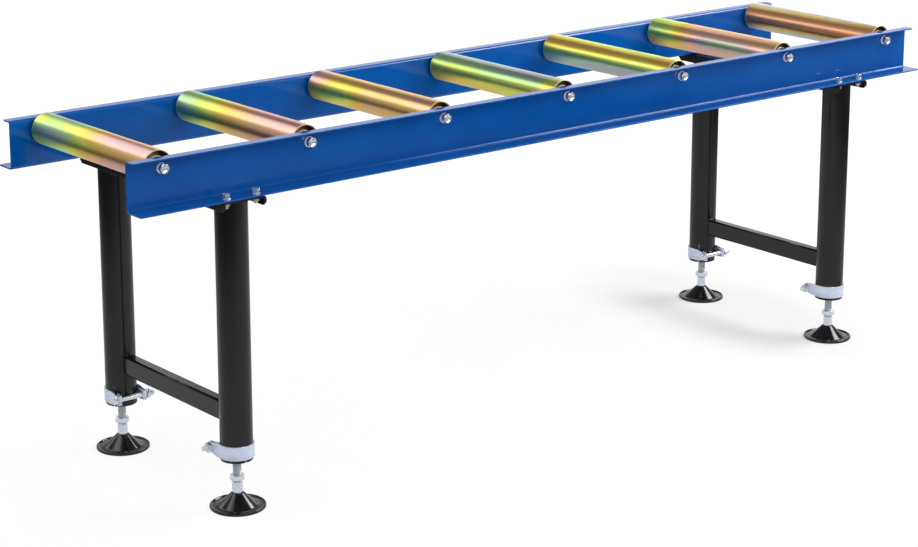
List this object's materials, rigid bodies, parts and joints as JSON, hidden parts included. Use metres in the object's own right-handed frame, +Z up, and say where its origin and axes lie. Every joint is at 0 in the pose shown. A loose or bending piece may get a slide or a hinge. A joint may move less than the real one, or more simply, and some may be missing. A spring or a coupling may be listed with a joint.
{
  "type": "roller conveyor",
  "caption": "Straight gravity roller conveyor: plated steel rollers between folded rails, on telescoping tube legs with clamps and levelling feet.",
  "frame": {"origin": "on the floor under the middle of the roller bed", "axes": "+X along the bed, +Y to the rear rail, +Z up"},
  "size_m": [2, 0.497, 0.6842],
  "materials": {
    "blue_paint": "semi-gloss blue powder coat",
    "black_paint": "semi-gloss black powder coat",
    "yellow_zinc": "yellow-passivated zinc plating with rainbow tints",
    "bright_zinc": "bright zinc plating",
    "bearing_steel": "ground steel",
    "black_foot": "glossy black"
  },
  "bodies": {
    "frame": {"rail_front": "blue_paint", "rail_rear": "blue_paint", "roller_axle_1": "bright_zinc", "roller_axle_2": "bright_zinc", "roller_axle_3": "bright_zinc", "roller_axle_4": "bright_zinc", "roller_axle_5": "bright_zinc", "roller_axle_6": "bright_zinc", "roller_axle_7": "bright_zinc", "leg_bracket_left": "black_paint", "leg_bracket_right": "black_paint", "leg_crossbar_left": "black_paint", "leg_crossbar_right": "black_paint", "leg_tube_front_left": "black_paint", "leg_tube_rear_left": "black_paint", "leg_tube_front_right": "black_paint", "leg_tube_rear_right": "black_paint", "leg_clamp_front_left": "bright_zinc", "leg_clamp_rear_left": "bright_zinc", "leg_clamp_front_right": "bright_zinc", "leg_clamp_rear_right": "bright_zinc"},
    "roller_1": {"roller_tube_1": "yellow_zinc", "roller_bearing_front_1": "bearing_steel", "roller_bearing_rear_1": "bearing_steel"},
    "roller_2": {"roller_tube_2": "yellow_zinc", "roller_bearing_front_2": "bearing_steel", "roller_bearing_rear_2": "bearing_steel"},
    "roller_3": {"roller_tube_3": "yellow_zinc", "roller_bearing_front_3": "bearing_steel", "roller_bearing_rear_3": "bearing_steel"},
    "roller_4": {"roller_tube_4": "yellow_zinc", "roller_bearing_front_4": "bearing_steel", "roller_bearing_rear_4": "bearing_steel"},
    "roller_5": {"roller_tube_5": "yellow_zinc", "roller_bearing_front_5": "bearing_steel", "roller_bearing_rear_5": "bearing_steel"},
    "roller_6": {"roller_tube_6": "yellow_zinc", "roller_bearing_front_6": "bearing_steel", "roller_bearing_rear_6": "bearing_steel"},
    "roller_7": {"roller_tube_7": "yellow_zinc", "roller_bearing_front_7": "bearing_steel", "roller_bearing_rear_7": "bearing_steel"},
    "leg_front_left": {"inner_leg_front_left": "bright_zinc"},
    "foot_front_left": {"foot_pad_front_left": "black_foot"},
    "spindle_front_left": {"foot_spindle_front_left": "bright_zinc", "foot_lock_nut_front_left": "bright_zinc"},
    "leg_rear_left": {"inner_leg_rear_left": "bright_zinc"},
    "foot_rear_left": {"foot_pad_rear_left": "black_foot"},
    "spindle_rear_left": {"foot_spindle_rear_left": "bright_zinc", "foot_lock_nut_rear_left": "bright_zinc"},
    "leg_front_right": {"inner_leg_front_right": "bright_zinc"},
    "foot_front_right": {"foot_pad_front_right": "black_foot"},
    "spindle_front_right": {"foot_spindle_front_right": "bright_zinc", "foot_lock_nut_front_right": "bright_zinc"},
    "leg_rear_right": {"inner_leg_rear_right": "bright_zinc"},
    "foot_rear_right": {"foot_pad_rear_right": "black_foot"},
    "spindle_rear_right": {"foot_spindle_rear_right": "bright_zinc", "foot_lock_nut_rear_right": "bright_zinc"}
  },
  "joints": [
    {"name": "roller_1_spin", "type": "hinge", "parent": "frame", "child": "roller_1", "pos_m": [-0.93, 0, 0.6542], "axis": [0, 1, 0], "continuous": true},
    {"name": "roller_2_spin", "type": "hinge", "parent": "frame", "child": "roller_2", "pos_m": [-0.62, 0, 0.6542], "axis": [0, 1, 0], "continuous": true},
    {"name": "roller_3_spin", "type": "hinge", "parent": "frame", "child": "roller_3", "pos_m": [-0.31, 0, 0.6542], "axis": [0, 1, 0], "continuous": true},
    {"name": "roller_4_spin", "type": "hinge", "parent": "frame", "child": "roller_4", "pos_m": [0, 0, 0.6542], "axis": [0, 1, 0], "continuous": true},
    {"name": "roller_5_spin", "type": "hinge", "parent": "frame", "child": "roller_5", "pos_m": [0.31, 0, 0.6542], "axis": [0, 1, 0], "continuous": true},
    {"name": "roller_6_spin", "type": "hinge", "parent": "frame", "child": "roller_6", "pos_m": [0.62, 0, 0.6542], "axis": [0, 1, 0], "continuous": true},
    {"name": "roller_7_spin", "type": "hinge", "parent": "frame", "child": "roller_7", "pos_m": [0.93, 0, 0.6542], "axis": [0, 1, 0], "continuous": true},
    {"name": "leg_extend_front_left", "type": "slide", "parent": "frame", "child": "leg_front_left", "axis": [0, 0, -1], "range_m": [0, 0.3]},
    {"name": "foot_level_front_left", "type": "slide", "parent": "leg_front_left", "child": "foot_front_left", "axis": [0, 0, -1], "range_m": [-0.025, 0.045]},
    {"name": "spindle_turn_front_left", "type": "hinge", "parent": "foot_front_left", "child": "spindle_front_left", "pos_m": [-0.787, -0.197, 0.03], "axis": [0, 0, -1], "range_deg": [-4510, 8110]},
    {"name": "leg_extend_rear_left", "type": "slide", "parent": "frame", "child": "leg_rear_left", "axis": [0, 0, -1], "range_m": [0, 0.3]},
    {"name": "foot_level_rear_left", "type": "slide", "parent": "leg_rear_left", "child": "foot_rear_left", "axis": [0, 0, -1], "range_m": [-0.025, 0.045]},
    {"name": "spindle_turn_rear_left", "type": "hinge", "parent": "foot_rear_left", "child": "spindle_rear_left", "pos_m": [-0.787, 0.197, 0.03], "axis": [0, 0, -1], "range_deg": [-4510, 8110]},
    {"name": "leg_extend_front_right", "type": "slide", "parent": "frame", "child": "leg_front_right", "axis": [0, 0, -1], "range_m": [0, 0.3]},
    {"name": "foot_level_front_right", "type": "slide", "parent": "leg_front_right", "child": "foot_front_right", "axis": [0, 0, -1], "range_m": [-0.025, 0.045]},
    {"name": "spindle_turn_front_right", "type": "hinge", "parent": "foot_front_right", "child": "spindle_front_right", "pos_m": [0.787, -0.197, 0.03], "axis": [0, 0, -1], "range_deg": [-4510, 8110]},
    {"name": "leg_extend_rear_right", "type": "slide", "parent": "frame", "child": "leg_rear_right", "axis": [0, 0, -1], "range_m": [0, 0.3]},
    {"name": "foot_level_rear_right", "type": "slide", "parent": "leg_rear_right", "child": "foot_rear_right", "axis": [0, 0, -1], "range_m": [-0.025, 0.045]},
    {"name": "spindle_turn_rear_right", "type": "hinge", "parent": "foot_rear_right", "child": "spindle_rear_right", "pos_m": [0.787, 0.197, 0.03], "axis": [0, 0, -1], "range_deg": [-4510, 8110]}
  ],
  "couplings": [
    {"joint": "spindle_turn_front_left", "follows": "foot_level_front_left", "rad_per_m": 3141.6},
    {"joint": "spindle_turn_rear_left", "follows": "foot_level_rear_left", "rad_per_m": 3141.6},
    {"joint": "spindle_turn_front_right", "follows": "foot_level_front_right", "rad_per_m": 3141.6},
    {"joint": "spindle_turn_rear_right", "follows": "foot_level_rear_right", "rad_per_m": 3141.6}
  ]
}
